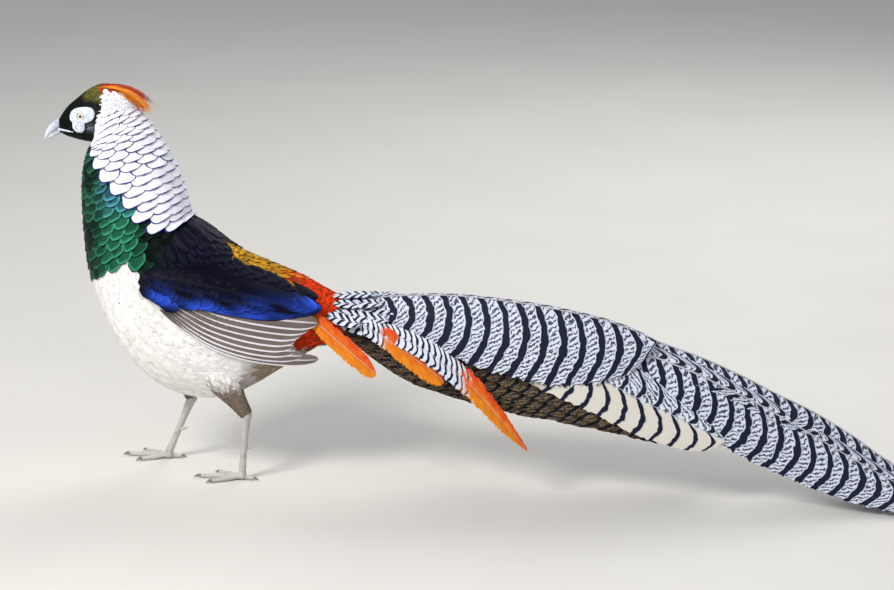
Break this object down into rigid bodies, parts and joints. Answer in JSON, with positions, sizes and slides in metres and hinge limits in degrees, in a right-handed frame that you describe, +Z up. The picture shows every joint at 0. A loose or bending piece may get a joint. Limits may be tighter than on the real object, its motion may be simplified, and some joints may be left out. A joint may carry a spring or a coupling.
{
  "type": "male lady amherst's pheasant",
  "caption": "Life-size standing cock pheasant with a scaled white cape, red crest, folded blue wings and a very long barred tail that trails to the floor.",
  "frame": {"origin": "floor point under the middle of the whole bird's box", "axes": "-X the way the bird faces, tail towards +X; -Y its left side; +Z up"},
  "size_m": [1.3468, 0.159, 0.52],
  "materials": {
    "green_feather": "glossy dark green scaled feathers",
    "white_feather": "matte white feathers",
    "cape_feather": "white feathers edged in blue black",
    "wing_feather": "glossy blue-black feathers over brown flight feathers",
    "crest_feather": "silky red feathers",
    "tail_feather": "silver white feathers barred in black",
    "thigh_feather": "matte mottled feathers",
    "bare_skin": "matte pale blue-white skin",
    "leg_scales": "satin grey scales",
    "horn": "satin pale horn",
    "eyeball": "wet and glossy"
  },
  "bodies": {
    "root": {"torso": "white_feather", "neck": "green_feather", "cape": "cape_feather", "head": "green_feather", "crest": "crest_feather", "bill_upper": "horn", "bill_lower": "horn", "face_skin_left": "bare_skin", "face_skin_right": "bare_skin", "eye_left": "eyeball", "eye_right": "eyeball", "wing_left": "wing_feather", "wing_right": "wing_feather", "thigh_left": "thigh_feather", "thigh_right": "thigh_feather", "shank_left": "leg_scales", "shank_right": "leg_scales", "foot_left": "leg_scales", "foot_right": "leg_scales", "claw_left_middle": "horn", "claw_left_inner": "horn", "claw_left_outer": "horn", "claw_left_hind": "horn", "claw_right_middle": "horn", "claw_right_inner": "horn", "claw_right_outer": "horn", "claw_right_hind": "horn", "tail": "tail_feather"}
  },
  "joints": []
}
